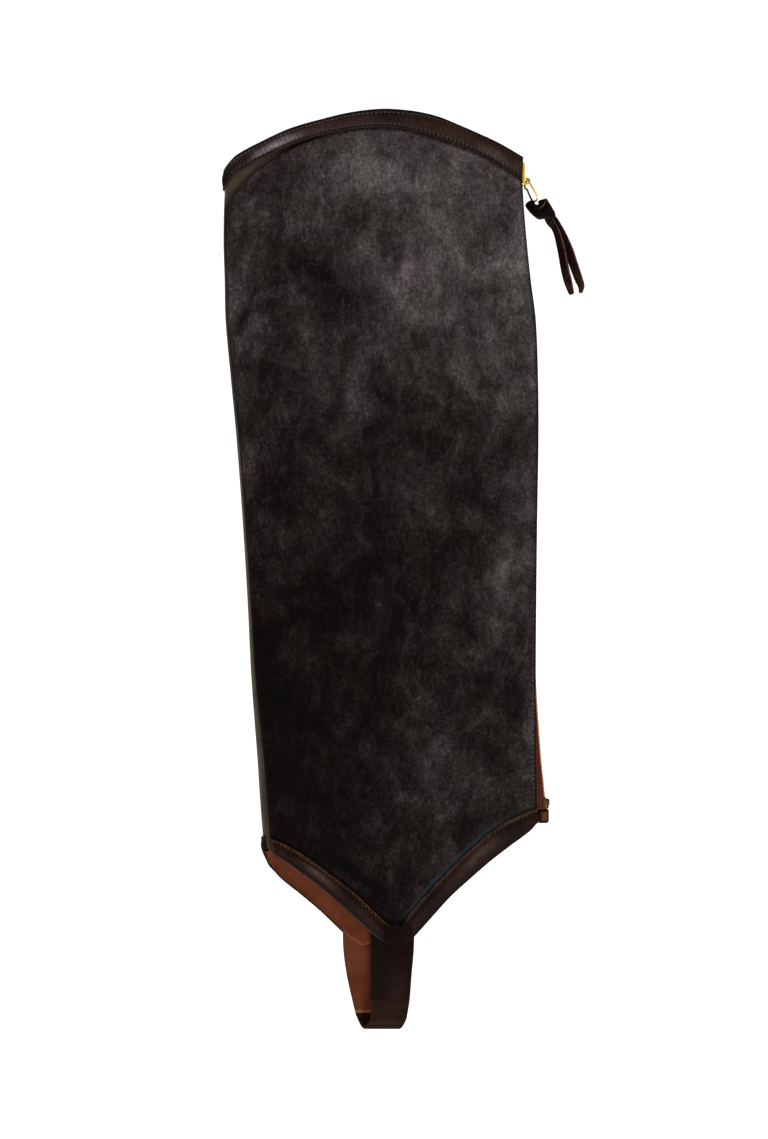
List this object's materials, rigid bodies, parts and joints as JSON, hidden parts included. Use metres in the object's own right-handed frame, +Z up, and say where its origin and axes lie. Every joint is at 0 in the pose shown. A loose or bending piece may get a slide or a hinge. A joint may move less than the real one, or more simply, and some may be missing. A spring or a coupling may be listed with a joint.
{
  "type": "leather riding gaiter",
  "caption": "Half-chap gaiter lying flat: a suede leather tube with bound edges, a back zip with a leather tassel pull, a V-shaped hem and an underfoot strap.",
  "frame": {"origin": "centre of the flat gaiter's box on the surface that it lies on", "axes": "+Y up the leg to the knee, +X from the front fold to the zip, +Z up from the surface"},
  "size_m": [0.2, 0.507, 0.0185],
  "materials": {
    "suede": "charcoal suede, mottled nap",
    "smooth_leather": "olive-grey smooth leather, satin",
    "dark_leather": "dark brown leather, glossy",
    "rust_leather": "rust-brown leather, satin",
    "zip_tape": "woven tape, maroon",
    "zip_metal": "aged brass",
    "gilt_metal": "polished gilt brass"
  },
  "bodies": {
    "gaiter": {"near_panel": "suede", "far_panel": "suede", "front_strip": "smooth_leather", "top_binding": "dark_leather", "hem_binding_near": "dark_leather", "hem_binding_far": "dark_leather", "hem_facing_far": "rust_leather", "hem_patch": "dark_leather", "strap_near": "dark_leather", "strap_sole": "dark_leather", "strap_far": "rust_leather", "zip_tape_near": "zip_tape", "zip_tape_far": "zip_tape", "zip_chain": "zip_metal", "zip_pin": "zip_metal", "zip_box": "zip_metal", "zip_slider": "gilt_metal"},
    "pull": {"pull_ring": "gilt_metal", "pull_knot": "dark_leather", "pull_tail_left": "dark_leather", "pull_tail_right": "dark_leather"}
  },
  "joints": [
    {"name": "pull_swing", "type": "hinge", "parent": "gaiter", "child": "pull", "pos_m": [0.06877, 0.215, 0.00772], "axis": [0, 0, 1], "range_deg": [-3, 150]}
  ]
}
